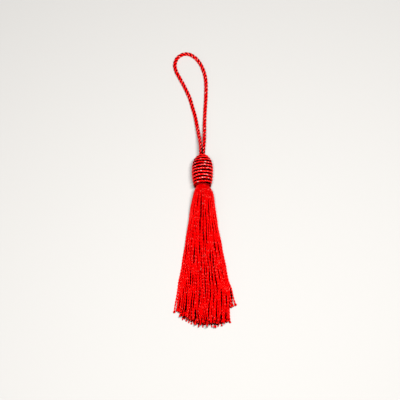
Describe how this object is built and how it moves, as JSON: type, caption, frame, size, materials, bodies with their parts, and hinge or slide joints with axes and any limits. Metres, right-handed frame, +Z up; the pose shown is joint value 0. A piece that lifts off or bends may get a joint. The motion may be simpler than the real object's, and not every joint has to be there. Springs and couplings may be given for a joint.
{
  "type": "silk tassel",
  "caption": "Silk tassel lying flat: a skirt of twisted threads below a cord-wound head, with a twisted cord loop to hang it by.",
  "frame": {"origin": "centre of the small flat spot under the wound head, on the surface the tassel lies on", "axes": "+Y along the tassel from the skirt towards the hanging loop, +Z up from the surface, +X across"},
  "size_m": [0.0323, 0.1554, 0.0106],
  "materials": {
    "skirt_thread": "satin",
    "head_winding": "satin",
    "loop_cord": "satin"
  },
  "bodies": {
    "root": {"thread_skirt": "skirt_thread", "wound_head": "head_winding", "hanging_loop": "loop_cord"}
  },
  "joints": []
}
